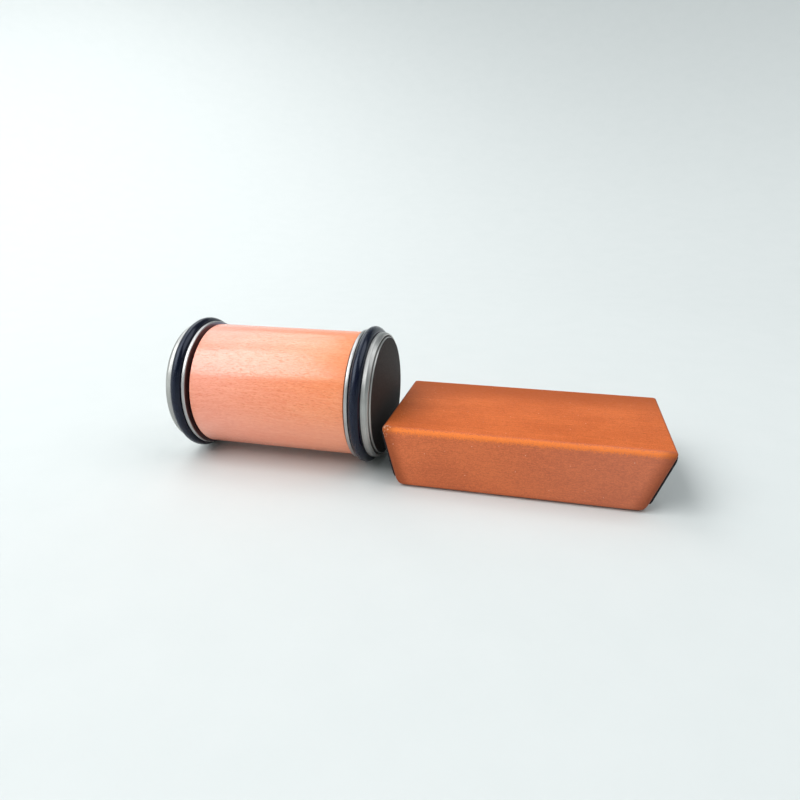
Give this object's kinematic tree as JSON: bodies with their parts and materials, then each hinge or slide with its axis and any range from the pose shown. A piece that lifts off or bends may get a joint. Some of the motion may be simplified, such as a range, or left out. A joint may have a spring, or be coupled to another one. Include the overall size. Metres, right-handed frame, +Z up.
{
  "type": "rolling knife sharpener",
  "caption": "Rolling knife sharpener: wooden-grip roller with rubber-tyred steel wheels and abrasive end discs, beside a wooden magnetic angle block with sloped ends.",
  "frame": {"origin": "on the table, under the middle of the box round roller and block together", "axes": "+X along the roller's axle from the roller towards the block, +Y the way the roller rolls, away from the picture's viewer, +Z up"},
  "size_m": [0.2104, 0.0684, 0.06],
  "materials": {
    "grip_wood": "light orange hardwood, turned and sealed to a satin sheen",
    "block_wood": "reddish-brown hardwood, oiled, with fine grain along its length",
    "wheel_steel": "turned stainless steel, satin",
    "honing_steel": "stainless steel with fine turned rings",
    "diamond_grit": "steel plated with dark matt abrasive grit",
    "tyre_rubber": "smooth black rubber",
    "pad_rubber": "matt black rubber sheet",
    "axle_steel": "turned steel",
    "spring_steel": "blackened steel",
    "bearing_steel": "ground and polished bearing steel",
    "cage_brass": "pressed brass",
    "cup_aluminium": "turned aluminium",
    "magnet_nickel": "nickel-plated magnet"
  },
  "bodies": {
    "block": {"block_body": "block_wood", "end_pad_15": "pad_rubber", "end_pad_20": "pad_rubber", "base_pad": "pad_rubber", "magnet_15_1": "magnet_nickel", "magnet_15_2": "magnet_nickel", "magnet_15_3": "magnet_nickel", "magnet_20_1": "magnet_nickel", "magnet_20_2": "magnet_nickel", "magnet_20_3": "magnet_nickel"},
    "grip": {"grip_barrel": "grip_wood", "bearing_cup_left": "cup_aluminium", "bearing_cup_right": "cup_aluminium", "retaining_ring_left": "spring_steel", "retaining_ring_right": "spring_steel", "outer_race_left": "bearing_steel", "outer_race_right": "bearing_steel"},
    "running_gear": {"axle": "axle_steel", "inner_race_left": "bearing_steel", "inner_race_right": "bearing_steel", "spacer_left": "axle_steel", "spacer_right": "axle_steel", "wheel_left": "wheel_steel", "wheel_right": "wheel_steel", "tyre_left": "tyre_rubber", "tyre_right": "tyre_rubber", "disc_stud_left": "spring_steel", "disc_stud_right": "spring_steel", "honing_disc": "honing_steel", "diamond_disc": "diamond_grit"},
    "left_cage": {"ball_cage_left": "cage_brass", "ball_left_1": "bearing_steel", "ball_left_2": "bearing_steel", "ball_left_3": "bearing_steel", "ball_left_4": "bearing_steel", "ball_left_5": "bearing_steel", "ball_left_6": "bearing_steel", "ball_left_7": "bearing_steel"},
    "right_cage": {"ball_cage_right": "cage_brass", "ball_right_1": "bearing_steel", "ball_right_2": "bearing_steel", "ball_right_3": "bearing_steel", "ball_right_4": "bearing_steel", "ball_right_5": "bearing_steel", "ball_right_6": "bearing_steel", "ball_right_7": "bearing_steel"}
  },
  "joints": [
    {"name": "roller_travel", "type": "slide", "parent": "block", "child": "grip", "axis": [0, 1, 0], "range_m": [-0.11, 0.11]},
    {"name": "wheel_spin", "type": "hinge", "parent": "grip", "child": "running_gear", "pos_m": [-0.05866, -0.00415, 0.03], "axis": [1, 0, 0], "continuous": true},
    {"name": "left_cage_spin", "type": "hinge", "parent": "grip", "child": "left_cage", "pos_m": [-0.08656, -0.00415, 0.03], "axis": [1, 0, 0], "continuous": true},
    {"name": "right_cage_spin", "type": "hinge", "parent": "grip", "child": "right_cage", "pos_m": [-0.03076, -0.00415, 0.03], "axis": [1, 0, 0], "continuous": true}
  ],
  "couplings": [
    {"joint": "wheel_spin", "follows": "roller_travel", "rad_per_m": -33.333},
    {"joint": "left_cage_spin", "follows": "roller_travel", "rad_per_m": -12.222},
    {"joint": "right_cage_spin", "follows": "roller_travel", "rad_per_m": -12.222}
  ]
}
